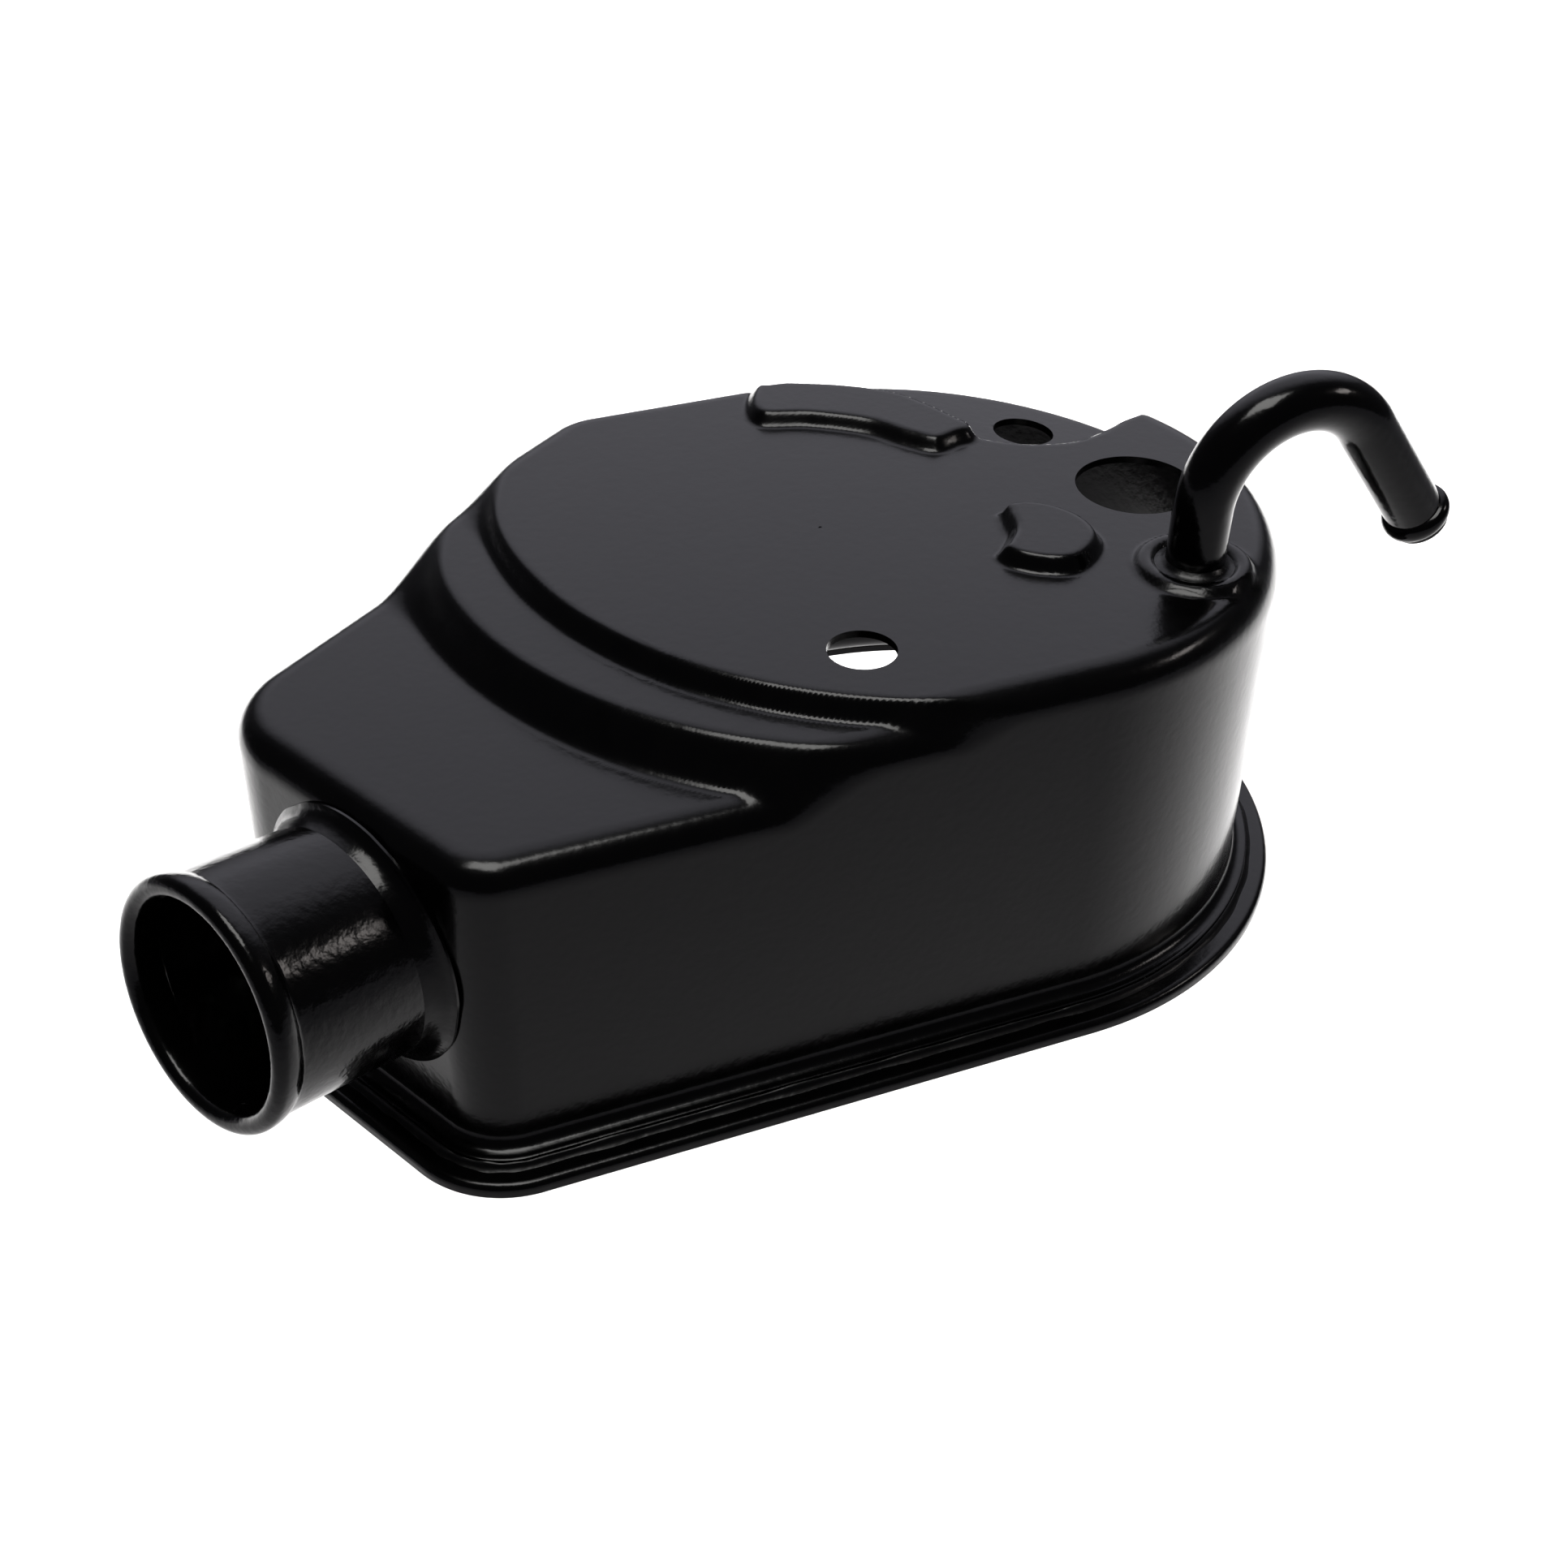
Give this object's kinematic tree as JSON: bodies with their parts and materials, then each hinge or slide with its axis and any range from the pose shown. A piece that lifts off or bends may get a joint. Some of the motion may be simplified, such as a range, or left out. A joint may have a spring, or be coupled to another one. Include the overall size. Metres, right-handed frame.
{
  "type": "power steering pump reservoir",
  "caption": "Stepped sheet steel fluid reservoir with a tapering arm, a filler neck, a hooked return tube and a flanged round mouth that slips over a pump.",
  "frame": {"origin": "middle of the footprint, on the plane that the front plate's rim rests on", "axes": "+Z from the front plate's mouth to the rear face, +X along the can's straight side, from the filler neck's end to the return tube's end, +Y to the side with the slanted wall"},
  "size_m": [0.2286, 0.1286, 0.1005],
  "materials": {
    "black_paint": "semi-gloss"
  },
  "bodies": {
    "root": {"rear_shell": "black_paint", "front_plate": "black_paint", "seam_braze": "black_paint", "filler_neck": "black_paint", "neck_braze": "black_paint", "return_tube": "black_paint", "tube_braze": "black_paint"}
  },
  "joints": []
}
